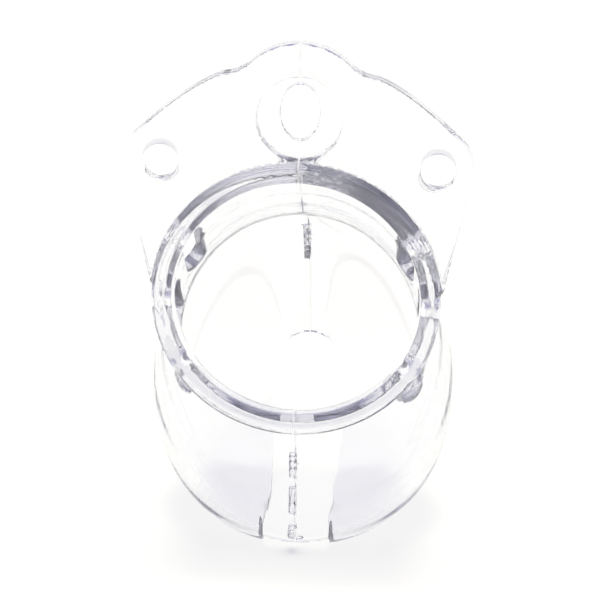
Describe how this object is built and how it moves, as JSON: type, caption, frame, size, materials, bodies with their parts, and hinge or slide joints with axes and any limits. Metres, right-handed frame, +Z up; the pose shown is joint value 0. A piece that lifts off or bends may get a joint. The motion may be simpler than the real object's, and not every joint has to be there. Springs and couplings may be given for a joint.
{
  "type": "clear moulded cage section with flange",
  "caption": "Clear moulded cage section: a flange plate with a rim ring, a short bent tube that swells into a slotted bulb, in two bonded halves.",
  "frame": {"origin": "under the middle of the bounding box, on the surface that the bulb's flat tip stands on", "axes": "+X to the right across the seam plane, +Y from the flange plate's front face back into the bulb, +Z up"},
  "size_m": [0.048, 0.0458, 0.0833],
  "materials": {
    "clear_polycarbonate": "clear, polished moulded polycarbonate with a faint cool violet tint in its edges"
  },
  "bodies": {
    "root": {"left_half": "clear_polycarbonate", "right_half": "clear_polycarbonate"}
  },
  "joints": []
}
